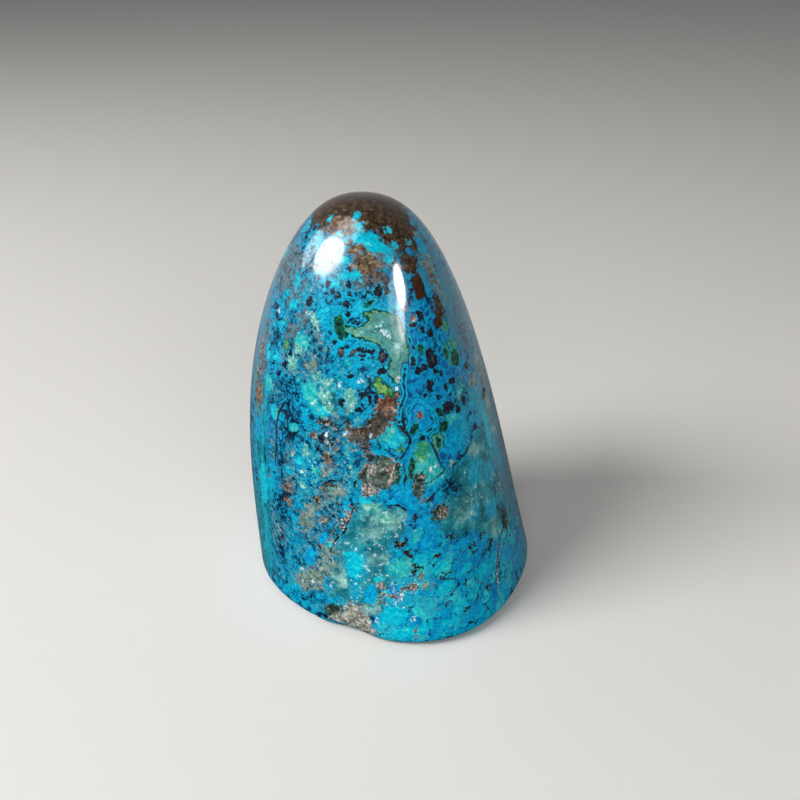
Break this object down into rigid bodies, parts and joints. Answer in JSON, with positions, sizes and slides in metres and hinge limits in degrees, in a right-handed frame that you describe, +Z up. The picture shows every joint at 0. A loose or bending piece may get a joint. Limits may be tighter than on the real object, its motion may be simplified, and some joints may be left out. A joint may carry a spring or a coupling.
{
  "type": "chrysocolla specimen",
  "caption": "Polished chrysocolla freeform: a round-topped, leaning blue-green stone with a dark brown cap, small crystal vugs and a flat ground base to stand on.",
  "frame": {"origin": "middle of the stone's box, on the ground base that it stands on", "axes": "+Z up the stone, -Y towards its broad vuggy front, +X to its right as seen from the front"},
  "size_m": [0.062, 0.0578, 0.085],
  "materials": {
    "stone": "tumbled and polished, glossy, with rough vugs and a rough chip at the foot"
  },
  "bodies": {
    "root": {"stone": "stone"}
  },
  "joints": []
}
